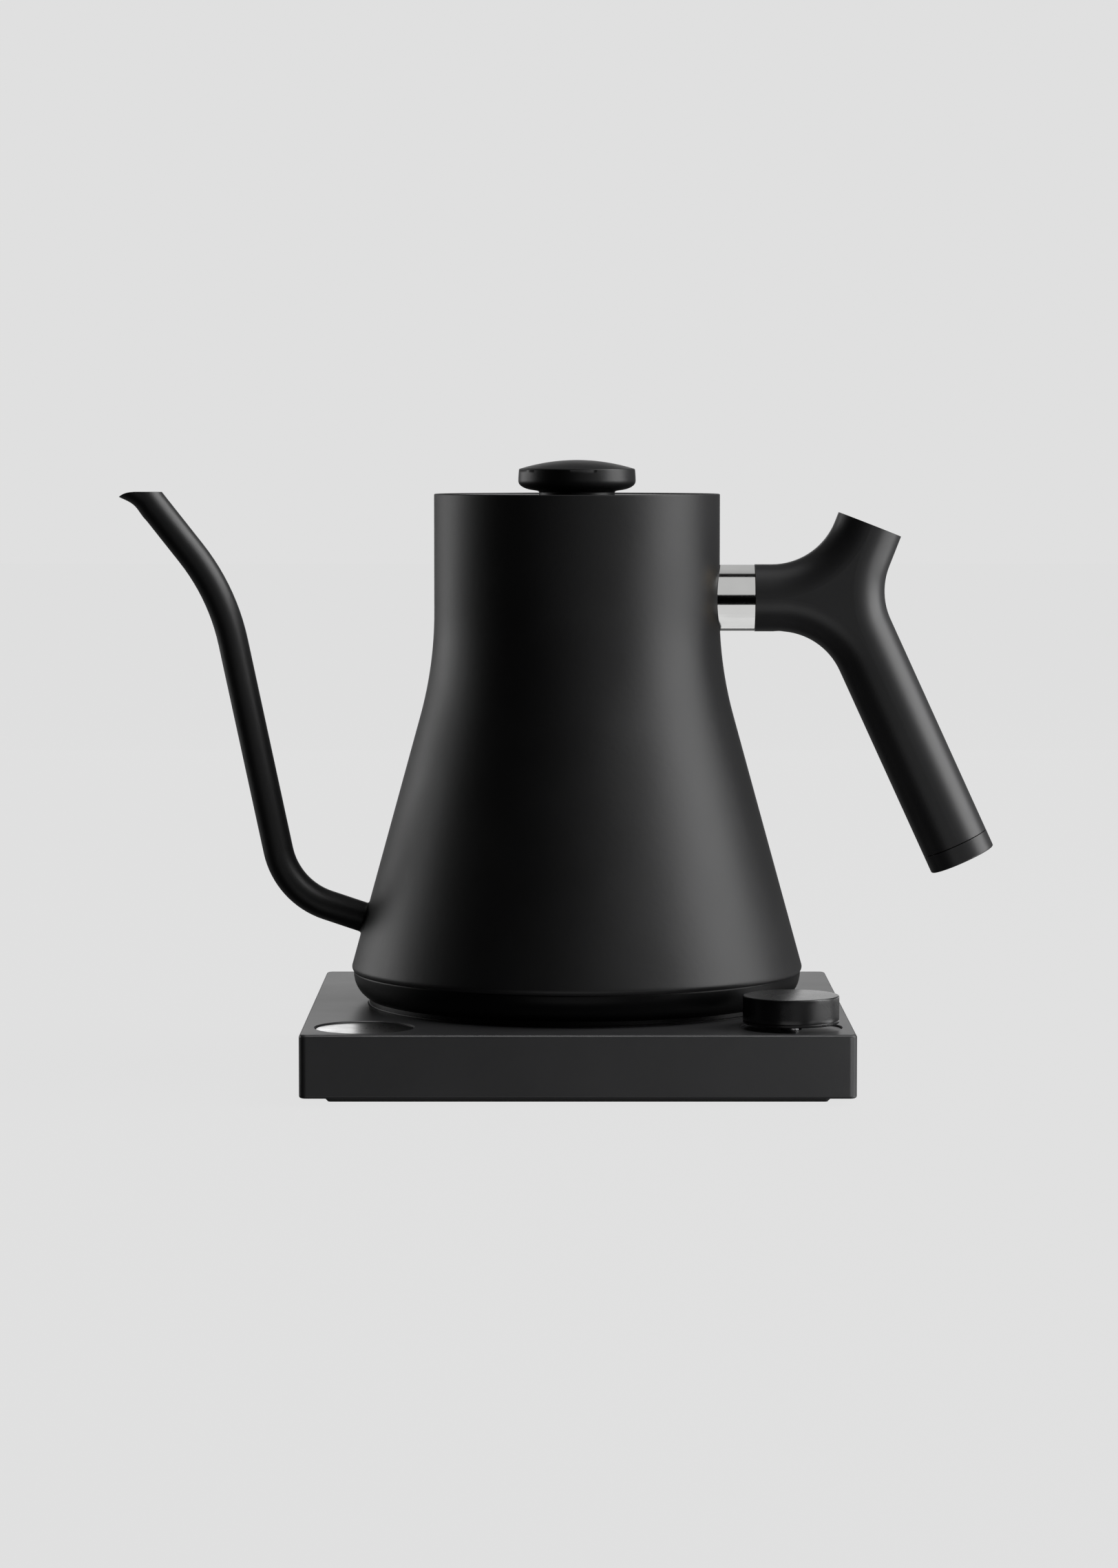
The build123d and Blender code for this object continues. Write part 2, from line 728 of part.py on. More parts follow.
def make_bottom_cover():
    """A moulded tray: a flange inside the housing's walls and a shallow plinth below them."""
    inside = 2 * (cavity_half - fit_gap)
    plinth = 2 * (base_half - plinth_inset + sole_thickness * 0.8)
    tray = slab(inside, inside, plinth_height + fit_gap, cover_inside_z, housing_corner * 0.4)
    tray += slab(plinth, plinth, sole_thickness, plinth_height + 1, 2.0)
    hollow = plinth - 2 * cover_thickness
    tray -= slab(hollow, hollow, sole_thickness + cover_thickness, cover_inside_z + 1, 1.0)
    for place in base_screw_places():
        tray += place * disc(base_boss_radius, sole_thickness, cover_inside_z)
        tray -= place * disc(base_screw_radius + fit_gap, -1, cover_inside_z + 1)
        tray -= place * disc(base_screw_head + fit_gap, -1, cover_inside_z - 1.2)
    for place in board_posts():
        tray += place * disc(2.6, sole_thickness + cover_thickness - 0.5, board_z)
        tray -= place * disc(1.1, cover_inside_z, board_z + 1)
    return tray


def make_sole():
    """The non-slip mat under the base, with bevelled edges and a hole under each screw."""
    side = 2 * (base_half - plinth_inset + sole_thickness * 0.8)
    mat = slab(side, side, 0, sole_thickness, 2.0)
    mat = chamfer(mat.edges().group_by(Axis.Z)[0], sole_thickness * 0.8)
    hole = disc(base_screw_head + 0.6, -1, sole_thickness + 1)
    return mat - [place * hole for place in base_screw_places()]


def make_base_screws():
    head_z = cover_inside_z - 1.2
    head = disc(base_screw_head, head_z - 1.8, head_z)
    head -= slab(base_screw_head * 1.3, 0.8, head_z - 3, head_z - 1.0)
    head -= slab(0.8, base_screw_head * 1.3, head_z - 3, head_z - 1.0)
    screw = head + disc(base_screw_radius, head_z, head_z + 10)
    return Compound([place * screw for place in base_screw_places()])


def make_cord_gland():
    """The bush that the mains cord passes through, at the back of the housing."""
    outside = base_half
    gland = gland_bar(gland_flange_radius, outside, outside + gland_flange_thickness)
    gland = fillet(gland.edges().filter_by(GeomType.CIRCLE).sort_by(Axis.Y)[-1], 0.7)
    gland += gland_bar(gland_radius, outside + gland_flange_thickness - gland_length, outside + 0.5)
    inner = cavity_half - fit_gap
    gland += gland_bar(gland_flange_radius - 0.8, inner - 1.8, inner)
    return gland - gland_bar(cord_bore, 0, base_half + 20)


def make_coupler_tower():
    """The base's half of the coupling: rings that stand in the vessel's cup, open from above."""
    low = roof_under_z - 6
    tower = disc(tower_radius, low, tower_top_z)
    tower = fillet(tower.edges().group_by(Axis.Z)[-1], 0.6)
    tower += disc(tower_foot_radius, roof_under_z + 0.4, housing_top_z + tower_foot_height)
    tower += disc(tower_foot_radius + 3, roof_under_z - 2, roof_under_z)
    tower += disc(tower_foot_radius, roof_under_z - 2, roof_under_z + 1)
    slot_floor = housing_top_z + 1.5
    for radius in contact_radii:
        half = contact_width / 2 + contact_gap
        tower -= ring(radius - half, radius + half, slot_floor, tower_top_z + 1)
    tower -= disc(contact_pin_radius + contact_gap, slot_floor, tower_top_z + 1)
    blade = slab(blade_width, blade_width, low - 1, slot_floor + 1)
    return tower - [place * blade for place in blade_places()]


def blade_places():
    return [Pos(x, 0, 0) for x in (0, -contact_radii[0], contact_radii[1])]


def make_tower_contacts():
    blade = slab(blade_width, blade_width, roof_under_z - 9, blade_top_z)
    return Compound([place * blade for place in blade_places()])


def make_tower_washer():
    """A loose silicone washer round the tower, which turns with the vessel and stays when it lifts."""
    inner = tower_radius + 0.25
    return ring(inner, inner + washer_width, washer_top_z - washer_thickness, washer_top_z)


def board_edges():
    """Low and high corners of the rear power board and the front control board."""
    inner = cavity_half - fit_gap - 2.0
    clear = tower_foot_radius + 3 + 2.0
    boss = cavity_half - base_screw_inset - base_boss_radius - 1.0
    rear = ((-boss, clear), (boss, boss))
    front = ((-inner, -inner), (inner, -control_offset + display_radius + 2))
    return rear, front


def board_posts():
    (rear_low, rear_high), (front_low, front_high) = board_edges()
    rear = [(x, y) for x in (rear_low[0] + 4, rear_high[0] - 4) for y in (rear_low[1] + 4, rear_high[1] - 4)]
    middle_y = (front_low[1] + front_high[1]) / 2
    front = [(x, middle_y) for x in (-control_offset / 4, control_offset / 4)]
    return [Pos(x, y, 0) for x, y in rear + front]


def board(low, high):
    plate = slab(high[0] - low[0], high[1] - low[1], board_z, board_top_z)
    plate = Pos((low[0] + high[0]) / 2, (low[1] + high[1]) / 2, 0) * plate
    return plate - [place * disc(1.25, board_z - 1, board_top_z + 1) for place in board_posts()]


def make_power_board():
    return board(*board_edges()[0])


def make_control_board():
    plate = board(*board_edges()[1])
    return plate - [place * disc(base_boss_radius + 1.2, 0, board_top_z + 1) for place in base_screw_places()]


def make_board_screws():
    screw = disc(2.2, board_top_z, board_top_z + 1.4) + disc(1.1, board_top_z - 4, board_top_z)
    return Compound([place * screw for place in board_posts()])


def on_power_board(share_x, size_x, size_y, height, corner=0.6):
    """A component on the power board, placed at a share of the board's length."""
    (low, high), _ = board_edges()
    x = low[0] + (high[0] - low[0]) * share_x
    y = (low[1] + high[1]) / 2
    block = slab(size_x, size_y, board_top_z, board_top_z + height, corner)
    return Pos(x, y, 0) * fillet(block.edges().group_by(Axis.Z)[-1], corner * 0.5)


def make_relay():
    return on_power_board(0.28, 19, 15, component_height)


def make_transformer():
    core = on_power_board(0.68, 20, 17, component_height * 0.7)
    return core + on_power_board(0.68, 13, 11, component_height)


def make_capacitor():
    return on_power_board(0.47, 8, 15, component_height * 0.9)


def make_terminal_block():
    block = on_power_board(0.86, 9, 16, component_height * 0.8)
    (low, high), _ = board_edges()
    x = low[0] + (high[0] - low[0]) * 0.86
    y = (low[1] + high[1]) / 2
    mouths = [Pos(x, y + step, board_top_z + 3) * Box(20, 3, 3) for step in (-5, 0, 5)]
    return block - mouths


def make_buzzer():
    can = disc(5.5, board_top_z, board_top_z + 5.5) - disc(1.0, board_top_z + 3, board_top_z + 6)
    _, (low, high) = board_edges()
    return Pos(0, (low[1] + high[1]) / 2, 0) * can


# ---------------------------------------------------------------- display and dial

def make_display_lens():
    top = housing_top_z - lens_recess
    lens = disc(display_radius, top - lens_thickness, top)
    return display_place() * chamfer(lens.edges().group_by(Axis.Z)[-1], 0.25)


def make_display_module():
    side = display_radius * 1.42
    module = slab(side, side, board_top_z, housing_top_z - lens_recess - lens_thickness, 1.0)
    return display_place() * module


def make_encoder_body():
    body = slab(encoder_width, encoder_width, board_top_z, board_top_z + encoder_height, 0.5)
    body += disc(shaft_radius + 1.6, board_top_z + encoder_height - 0.5, roof_under_z - 0.2)
    body -= disc(rotor_radius + shaft_gap, rotor_z - shaft_gap, rotor_z + rotor_height + shaft_gap)
    bore = disc(shaft_radius + shaft_gap * 2, shaft_low_z - dial_travel - 0.1, mouth_z)
    return dial_place() * (body - bore)


rotor_z = board_top_z + 3.0
shaft_low_z = board_top_z + 2.2
shaft_top_z = dial_top_z - 3.0


def shaft_form(radius, flat, bottom, top):
    """A round shaft with one flat."""
    side = Pos(radius + flat, 0, 0) * slab(2 * radius, 4 * radius, bottom - 1, top + 1)
    return disc(radius, bottom, top) - side


def make_encoder_rotor():
    """The contact wheel in the encoder: the shaft turns it and slides through it."""
    rotor_top_z = rotor_z + rotor_height
    wheel = disc(rotor_radius, rotor_z, rotor_top_z)
    bore = shaft_form(shaft_radius + shaft_gap, shaft_flat + shaft_gap, rotor_z - 1, rotor_top_z + 1)
    return dial_place() * (wheel - bore)


def make_dial_shaft():
    shaft = shaft_form(shaft_radius, shaft_flat, shaft_low_z, shaft_top_z)
    return dial_place() * chamfer(shaft.edges().group_by(Axis.Z)[-1], 0.4)


def make_dial_knob():
    low = housing_top_z + dial_lift
    knob = disc(dial_radius, low, dial_top_z)
    knob = chamfer(knob.edges().group_by(Axis.Z)[-1], dial_edge)
    hollow = disc(dial_radius - dial_wall, low - 1, dial_top_z - 2.4)
    knob -= hollow - disc(shaft_radius + 2.2, low - 2, mouth_z)
    return dial_place() * (knob - shaft_form(shaft_radius, shaft_flat, low - 1, shaft_top_z))


pieces = {
    "vessel_body": make_vessel_body,
    "spout": make_spout,
    "lid_seat_ring": make_lid_seat_ring,
    "vessel_floor": make_vessel_floor,
    "heat_plate": make_heat_plate,
    "heating_element": make_heating_element,
    "thermal_cutouts": make_thermal_cutouts,
    "temperature_probe": make_temperature_probe,
    "probe_seal": make_probe_seal,
    "cover_posts": make_cover_posts,
    "cover_screws": make_cover_screws,
    "vessel_bottom_cover": make_vessel_bottom_cover,
    "coupler_cup": make_coupler_cup,
    "coupler_contacts": make_coupler_contacts,
    "handle_post": make_handle_post,
    "handle_stud": make_handle_stud,
    "handle_insert": make_handle_insert,
    "handle_set_screw": make_handle_set_screw,
    "handle_grip": make_handle_grip,
    "handle_end_cap": make_handle_end_cap,
    "grip_weight": make_grip_weight,
    "lid_disc": make_lid_disc,
    "lid_plug": make_lid_plug,
    "lid_seal": make_lid_seal,
    "lid_bottom_plate": make_lid_bottom_plate,
    "lid_screw": make_lid_screw,
    "lid_knob": make_knob,
    "knob_insert": make_knob_insert,
    "base_housing": make_housing,
    "landing_ring": make_landing_ring,
    "base_bottom_cover": make_bottom_cover,
    "base_sole": make_sole,
    "base_screws": make_base_screws,
    "cord_gland": make_cord_gland,
    "coupler_tower": make_coupler_tower,
    "tower_contacts": make_tower_contacts,
    "tower_washer": make_tower_washer,
    "power_board": make_power_board,
    "control_board": make_control_board,
    "board_screws": make_board_screws,
    "relay": make_relay,
    "transformer": make_transformer,
    "capacitor": make_capacitor,
    "terminal_block": make_terminal_block,
    "buzzer": make_buzzer,
    "display_lens": make_display_lens,
    "display_module": make_display_module,
    "encoder_body": make_encoder_body,
    "encoder_rotor": make_encoder_rotor,
    "dial_shaft": make_dial_shaft,
    "dial_knob": make_dial_knob,
}

os.makedirs("parts", exist_ok=True)
for name, make in pieces.items():
    export_step(make(), f"parts/{name}.step")
    print("wrote", name)
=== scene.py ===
import json
from math import atan2, cos, pi, radians, sin, sqrt, tan

import bmesh
import bpy
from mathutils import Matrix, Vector


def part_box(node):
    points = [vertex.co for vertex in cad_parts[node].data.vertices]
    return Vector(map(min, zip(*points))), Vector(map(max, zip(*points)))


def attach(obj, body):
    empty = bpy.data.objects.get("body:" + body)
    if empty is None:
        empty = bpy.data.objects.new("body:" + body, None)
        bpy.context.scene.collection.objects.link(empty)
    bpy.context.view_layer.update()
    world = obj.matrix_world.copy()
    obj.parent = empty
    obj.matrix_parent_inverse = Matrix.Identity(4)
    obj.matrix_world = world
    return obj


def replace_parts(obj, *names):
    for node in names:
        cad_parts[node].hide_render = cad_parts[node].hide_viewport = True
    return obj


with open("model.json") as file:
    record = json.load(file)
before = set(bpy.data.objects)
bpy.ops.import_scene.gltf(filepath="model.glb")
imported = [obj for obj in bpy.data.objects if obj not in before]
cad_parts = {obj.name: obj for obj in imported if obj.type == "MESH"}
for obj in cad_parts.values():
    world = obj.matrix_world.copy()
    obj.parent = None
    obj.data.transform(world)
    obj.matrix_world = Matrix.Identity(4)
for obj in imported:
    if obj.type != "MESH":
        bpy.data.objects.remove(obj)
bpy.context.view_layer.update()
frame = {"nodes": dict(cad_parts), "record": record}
nodes = frame["nodes"]
print("frame loaded,", len(nodes), "nodes")


def newMaterial(name):
    mat = bpy.data.materials.new(name)
    mat.use_nodes = True
    tree = mat.node_tree
    return mat, tree, tree.nodes["Principled BSDF"]


def addNode(tree, kind, **settings):
    node = tree.nodes.new(kind)
    for key, value in settings.items():
        setattr(node, key, value)
    return node


def place(tree, stretch=(1, 1, 1)):
    # the piece's own space in metres, optionally stretched
    coords = addNode(tree, "ShaderNodeTexCoord")
    mapping = addNode(tree, "ShaderNodeMapping")
    mapping.inputs["Scale"].default_value = stretch
    tree.links.new(coords.outputs["Object"], mapping.inputs["Vector"])
    return mapping.outputs["Vector"]


def noise(tree, where, size, detail=2.0, rough=0.5):
    # size is the width of one grain in metres
    tex = addNode(tree, "ShaderNodeTexNoise")
    tex.inputs["Scale"].default_value = 1 / size
    tex.inputs["Detail"].default_value = detail
    tex.inputs["Roughness"].default_value = rough
    tree.links.new(where, tex.inputs["Vector"])
    return tex.outputs["Fac"]


def spread(tree, value, low, high, start=0.3, end=0.7):
    # turns a noise value into a range
    node = addNode(tree, "ShaderNodeMapRange")
    for key, number in (("From Min", start), ("From Max", end), ("To Min", low), ("To Max", high)):
        node.inputs[key].default_value = number
    tree.links.new(value, node.inputs["Value"])
    return node.outputs["Result"]


def tint(tree, value, dark, light, start=0.3, end=0.7):
    ramp = addNode(tree, "ShaderNodeValToRGB")
    ramp.color_ramp.elements[0].position = start
    ramp.color_ramp.elements[1].position = end
    ramp.color_ramp.elements[0].color = (*dark, 1)
    ramp.color_ramp.elements[1].color = (*light, 1)
    tree.links.new(value, ramp.inputs["Fac"])
    return ramp.outputs["Color"]


def bump(tree, height, depth, strength=1.0, under=None):
    # depth is the height of the relief in metres
    node = addNode(tree, "ShaderNodeBump")
    node.inputs["Distance"].default_value = depth
    node.inputs["Strength"].default_value = strength
    tree.links.new(height, node.inputs["Height"])
    if under:
        tree.links.new(under, node.inputs["Normal"])
    return node.outputs["Normal"]


def shade(colour, amount):
    return tuple(min(1.0, c * amount) for c in colour)


def coated(name, look):
    # powder coat: fine sand over a soft orange peel
    mat, tree, bsdf = newMaterial(name)
    where = place(tree)
    cloud = noise(tree, where, look["patch"], 3)
    grain = noise(tree, where, look["grain"], 2, 0.6)
    peel = noise(tree, where, look["grain"] * 6, 1)
    mottle = tint(tree, cloud, shade(look["colour"], 0.9), shade(look["colour"], 1.12))
    tree.links.new(mottle, bsdf.inputs["Base Color"])
    tree.links.new(spread(tree, cloud, look["rough"] - 0.02, look["rough"] + 0.03), bsdf.inputs["Roughness"])
    soft = bump(tree, peel, look["relief"] * 2, 0.5)
    tree.links.new(bump(tree, grain, look["relief"], 0.6, soft), bsdf.inputs["Normal"])
    bsdf.inputs["Specular IOR Level"].default_value = look.get("gloss", 0.5)
    return mat


def metal(name, look):
    # drawn, brushed or polished metal; streak stretches the grain along one direction
    mat, tree, bsdf = newMaterial(name)
    where = place(tree, look["streak"])
    lines = noise(tree, where, look["grain"], 4, 0.65)
    cloud = noise(tree, place(tree), look["patch"], 2)
    tree.links.new(tint(tree, cloud, shade(look["colour"], 0.94), look["colour"]), bsdf.inputs["Base Color"])
    tree.links.new(spread(tree, lines, look["rough"] * 0.85, look["rough"] * 1.2), bsdf.inputs["Roughness"])
    tree.links.new(bump(tree, lines, look["relief"], 0.5), bsdf.inputs["Normal"])
    bsdf.inputs["Metallic"].default_value = 1.0
    return mat


def moulded(name, look):
    # moulded plastic or rubber, spark-eroded texture with faint flow clouds
    mat, tree, bsdf = newMaterial(name)
    where = place(tree)
    cloud = noise(tree, where, look["patch"], 2)
    grain = noise(tree, where, look["grain"], 3, 0.6)
    mottle = tint(tree, cloud, shade(look["colour"], 0.9), shade(look["colour"], 1.1))
    tree.links.new(mottle, bsdf.inputs["Base Color"])
    tree.links.new(spread(tree, grain, look["rough"] - 0.04, look["rough"] + 0.04), bsdf.inputs["Roughness"])
    tree.links.new(bump(tree, grain, look["relief"], 0.5), bsdf.inputs["Normal"])
    bsdf.inputs["Specular IOR Level"].default_value = look.get("gloss", 0.5)
    return mat


def circuitBoard(name, look):
    # solder mask over copper tracks, with bare tinned pads
    mat, tree, bsdf = newMaterial(name)
    where = place(tree)
    tracks = addNode(tree, "ShaderNodeTexBrick", offset=0.37, squash=0.6)
    tracks.inputs["Scale"].default_value = 1.0
    tracks.inputs["Brick Width"].default_value = look["track"] * 5
    tracks.inputs["Row Height"].default_value = look["track"] * 1.7
    tracks.inputs["Mortar Size"].default_value = look["track"] * 0.16
    tracks.inputs["Color1"].default_value = (*look["colour"], 1)
    tracks.inputs["Color2"].default_value = (*shade(look["colour"], 0.85), 1)
    tracks.inputs["Mortar"].default_value = (*shade(look["colour"], 1.9), 1)
    tree.links.new(where, tracks.inputs["Vector"])
    pads = addNode(tree, "ShaderNodeTexVoronoi", feature="F1")
    pads.inputs["Scale"].default_value = 1 / (look["track"] * 2.2)
    pads.inputs["Randomness"].default_value = 0.15
    tree.links.new(where, pads.inputs["Vector"])
    isPad = spread(tree, pads.outputs["Distance"], 1, 0, 0.13, 0.16)
    mix = addNode(tree, "ShaderNodeMix", data_type="RGBA")
    mix.inputs["B"].default_value = (0.62, 0.6, 0.55, 1)
    tree.links.new(isPad, mix.inputs["Factor"])
    tree.links.new(tracks.outputs["Color"], mix.inputs["A"])
    tree.links.new(mix.outputs["Result"], bsdf.inputs["Base Color"])
    tree.links.new(isPad, bsdf.inputs["Metallic"])
    tree.links.new(bump(tree, tracks.outputs["Fac"], 0.00005), bsdf.inputs["Normal"])
    bsdf.inputs["Roughness"].default_value = 0.3
    return mat


black = (0.0096, 0.0096, 0.0102)
even = (1, 1, 1)
# grain, relief and patch are in metres, from the finest texture to the widest clouds
finishes = {
    "matt_coat": (coated, dict(colour=black, rough=0.44, grain=0.00035, relief=0.00002, patch=0.03)),
    # the base's black is the coat's black made 1.9 times lighter: partly its own finish, partly painted light
    # for its lit top and front
    "base_black": (coated, dict(
        colour=shade(black, 1.9), rough=0.38, grain=0.0004, relief=0.00002, patch=0.04)),
    "knob_black": (coated, dict(colour=black, rough=0.4, grain=0.0003, relief=0.000015, patch=0.01)),
    "dial_black": (coated, dict(
        colour=black, gloss=0.6, rough=0.27, grain=0.0003, relief=0.000012, patch=0.01)),
    "grip_black": (moulded, dict(
        colour=shade(black, 1.7), gloss=0.7, rough=0.39, grain=0.0003, relief=0.00002, patch=0.02)),
    # the dish's black is the coat's black made darker, painted shade for the skirt under the rim
    "dish_black": (moulded, dict(
        colour=shade(black, 0.4), gloss=0.14, rough=0.36, grain=0.0003, relief=0.00001, patch=0.03)),
    "coupling_black": (moulded, dict(
        colour=(0.012, 0.012, 0.013), rough=0.3, grain=0.0004, relief=0.00001, patch=0.01)),
    "plug_black": (moulded, dict(
        colour=(0.02, 0.02, 0.022), rough=0.4, grain=0.0004, relief=0.00001, patch=0.01)),
    "seal_silicone": (moulded, dict(
        colour=(0.09, 0.09, 0.09), rough=0.55, grain=0.0002, relief=0.00001, patch=0.006)),
    "sole_rubber": (moulded, dict(
        colour=(0.015, 0.015, 0.015), rough=0.75, grain=0.0006, relief=0.00006, patch=0.02)),
    "display_black": (moulded, dict(
        colour=(0.004, 0.004, 0.0045), gloss=0.7, rough=0.3, grain=0.004, relief=0.000001, patch=0.01)),
    "component_black": (moulded, dict(
        colour=(0.02, 0.02, 0.02), rough=0.5, grain=0.0005, relief=0.00002, patch=0.01)),
    "component_blue": (moulded, dict(
        colour=(0.03, 0.09, 0.26), rough=0.35, grain=0.0006, relief=0.00001, patch=0.01)),
    "component_yellow": (moulded, dict(
        colour=(0.55, 0.4, 0.08), rough=0.35, grain=0.0006, relief=0.00002, patch=0.01)),
    "encoder_white": (moulded, dict(
        colour=(0.7, 0.69, 0.66), rough=0.4, grain=0.0005, relief=0.00001, patch=0.004)),
    "post_polish": (metal, dict(
        colour=(0.84, 0.84, 0.83), rough=0.1, grain=0.0004, relief=0.0000004, patch=0.01, streak=even)),
    "inner_steel": (metal, dict(
        colour=(0.62, 0.61, 0.59), rough=0.3, grain=0.0004, relief=0.000004, patch=0.03,
        streak=(1, 1, 0.04))),
    "fastener_steel": (metal, dict(
        colour=(0.6, 0.6, 0.58), rough=0.32, grain=0.0003, relief=0.000004, patch=0.002, streak=even)),
    "plate_aluminium": (metal, dict(
        colour=(0.7, 0.7, 0.71), rough=0.36, grain=0.0004, relief=0.000006, patch=0.02, streak=(0.05, 1, 1))),
    "shaft_aluminium": (metal, dict(
        colour=(0.66, 0.66, 0.67), rough=0.28, grain=0.0003, relief=0.000003, patch=0.003, streak=(1, 1, 8))),
    "element_sheath": (metal, dict(
        colour=(0.33, 0.29, 0.26), rough=0.42, grain=0.0006, relief=0.00001, patch=0.012, streak=even)),
    "contact_brass": (metal, dict(
        colour=(0.72, 0.53, 0.25), rough=0.25, grain=0.0003, relief=0.000003, patch=0.003, streak=even)),
    "board_green": (circuitBoard, dict(colour=(0.01, 0.07, 0.03), track=0.0016)),
}
made = {slot: make(slot, look) for slot, (make, look) in finishes.items()}
slotOf = {part["node"]: part["material_slot"] for part in frame["record"]["subparts"]}
for name, piece in nodes.items():
    for holder in piece.material_slots:
        holder.material = made[slotOf[name]]
print("finishes made:", len(made))


def newPiece(name, bm, slot, body):
    # closes up a bmesh into a smooth piece that rides on its body
    bmesh.ops.remove_doubles(bm, verts=bm.verts, dist=1e-7)
    bmesh.ops.recalc_face_normals(bm, faces=bm.faces)
    mesh = bpy.data.meshes.new(name)
    bm.to_mesh(mesh)
    bm.free()
    mesh.shade_smooth()
    mesh.set_sharp_from_angle(angle=radians(32))
    mesh.materials.append(made[slot])
    piece = bpy.data.objects.new(name, mesh)
    bpy.context.scene.collection.objects.link(piece)
    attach(piece, body)
    return piece


def arc(centre, radius, start, end, steps):
    # points of an arc in an outline, angles in degrees from +r towards +z
    angles = [radians(start + (end - start) * i / steps) for i in range(steps + 1)]
    return [(centre[0] + radius * cos(a), centre[1] + radius * sin(a)) for a in angles]


def between(start, end, steps):
    # evenly spaced points between two ends, which are left out
    return [tuple(a + (b - a) * i / steps for a, b in zip(start, end)) for i in range(1, steps)]


def turned(outline, around, centre=(0, 0)):
    # a closed outline of radius and height, turned about an upright axis
    bm = bmesh.new()
    rings = []
    for k in range(around):
        a = 2 * pi * k / around
        x, y = cos(a), sin(a)
        rings.append([bm.verts.new((centre[0] + r * x, centre[1] + r * y, z)) for r, z in outline])
    for k in range(around):
        near, far = rings[k], rings[(k + 1) % around]
        for i in range(len(outline)):
            j = (i + 1) % len(outline)
            bm.faces.new((near[i], near[j], far[j], far[i]))
    return bm


def looped(rows):
    # joins closed rows of points, and the last row to the first
    bm = bmesh.new()
    verts = [[bm.verts.new(p) for p in row] for row in rows]
    for k, row in enumerate(verts):
        following = verts[(k + 1) % len(verts)]
        for i in range(len(row)):
            j = (i + 1) % len(row)
            bm.faces.new((row[i], row[j], following[j], following[i]))
    return bm


# the vessel's wall, with a coat outside and bare steel inside
vessel = dict(
    neck=0.04745,       # outside radius
    rim=0.0757,         # radius of the cone's lower corner, before it is rolled
    rimHeight=0.0327,
    mouth=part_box("vessel_body")[1].z,
    flare=0.0567,       # from the mouth down to where neck and cone would meet
    blend=0.13,
    wall=0.0009,
    roll=0.002,         # radius of the rolled lower edge
    rollEnd=-95,        # angle at which the roll stops, just past straight down
    bead=0.00042,       # rounding of the mouth
    coatWrap=0.0012,    # of the coat over the mouth and down inside
    skin=0.00035,       # thickness that the coat's piece has
    steps=72,           # of the outline from rim to mouth
    rollSteps=12,
    beadSteps=6,
    around=224,
)
flareHeight = vessel["mouth"] - vessel["flare"]
coneLean = atan2(vessel["rim"] - vessel["neck"], flareHeight - vessel["rimHeight"])


def wallRadius(z, inset=0.0):
    # radius of the vessel's outer surface at a height, taken in by inset
    neck, blend = vessel["neck"] - inset, vessel["blend"] + inset
    run = blend * tan(coneLean / 2)
    corner = flareHeight - inset * tan(coneLean / 2)
    if z >= corner + run:
        return neck
    if z <= corner - run * cos(coneLean):
        return neck + (corner - z) * tan(coneLean)
    return neck + blend - sqrt(blend ** 2 - (corner + run - z) ** 2)


def wallLine(inset, low, high, steps):
    # the wall's outline between two heights, in even steps
    heights = [low + (high - low) * i / steps for i in range(steps + 1)]
    return [(wallRadius(z, inset), z) for z in heights]


def makeVesselCoat():
    v = vessel
    lean = coneLean * 180 / pi
    roll = v["roll"]
    # centre of the rolled edge, touching the cone and the level of the rim
    rollZ = v["rimHeight"] + roll
    rollR = wallRadius(rollZ) - roll / cos(coneLean)
    outline = arc((rollR, rollZ), roll, v["rollEnd"], lean, v["rollSteps"])
    outline += wallLine(0, outline[-1][1] + 0.0006, v["mouth"] - v["bead"] * 1.3, v["steps"])
    outline += arc((v["neck"] - v["bead"], v["mouth"] - v["bead"]), v["bead"], 0, 90, v["beadSteps"])
    inner = v["neck"] - v["wall"]
    outline += arc((inner + v["bead"], v["mouth"] - v["bead"]), v["bead"], 90, 180, v["beadSteps"])
    wrapEnd = v["mouth"] - v["coatWrap"]
    outline += [(inner, wrapEnd), (inner + v["skin"], wrapEnd)]
    outline += wallLine(v["skin"], v["mouth"] - v["coatWrap"] * 1.5, rollZ + 0.001, v["steps"])
    outline += arc((rollR, rollZ), roll - v["skin"], lean, v["rollEnd"], v["rollSteps"])
    return newPiece("vesselCoat", turned(outline, v["around"]), "matt_coat", "kettle")


def makeVesselLining():
    v = vessel
    gap = 0.00002   # keeps the lining clear of the coat's piece
    low, high = v["rimHeight"] + v["roll"], v["mouth"] - v["coatWrap"] - gap
    outline = wallLine(v["wall"], high, low, v["steps"])
    outline += wallLine(v["skin"] + gap, low, high, v["steps"])
    return newPiece("vesselLining", turned(outline, v["around"]), "inner_steel", "kettle")


# a welded seam where the spout meets the wall, and a thin ring of the dark coat round the post's root as
# painted shade for the dark line where post and wall meet: a point and a direction on the tube's axis
seams = dict(
    spoutWeld=dict(start=(-0.0708, 0, 0.0506), along=(-0.9478, 0, 0.3190), radius=0.005, width=0.0009),
    # this ring is painted shade: dark coat standing in for the contact shadow round the post
    postCollar=dict(start=(0.040, 0, 0.15745), along=(1, 0, 0), radius=0.01095, width=0.0002),
)


def onWall(start, along, low=-0.02, high=0.03):
    # distance along a line at which it leaves the vessel's wall
    for halving in range(40):
        middle = (low + high) / 2
        p = start + along * middle
        if sqrt(p.x ** 2 + p.y ** 2) < wallRadius(p.z):
            low = middle
        else:
            high = middle
    return (low + high) / 2


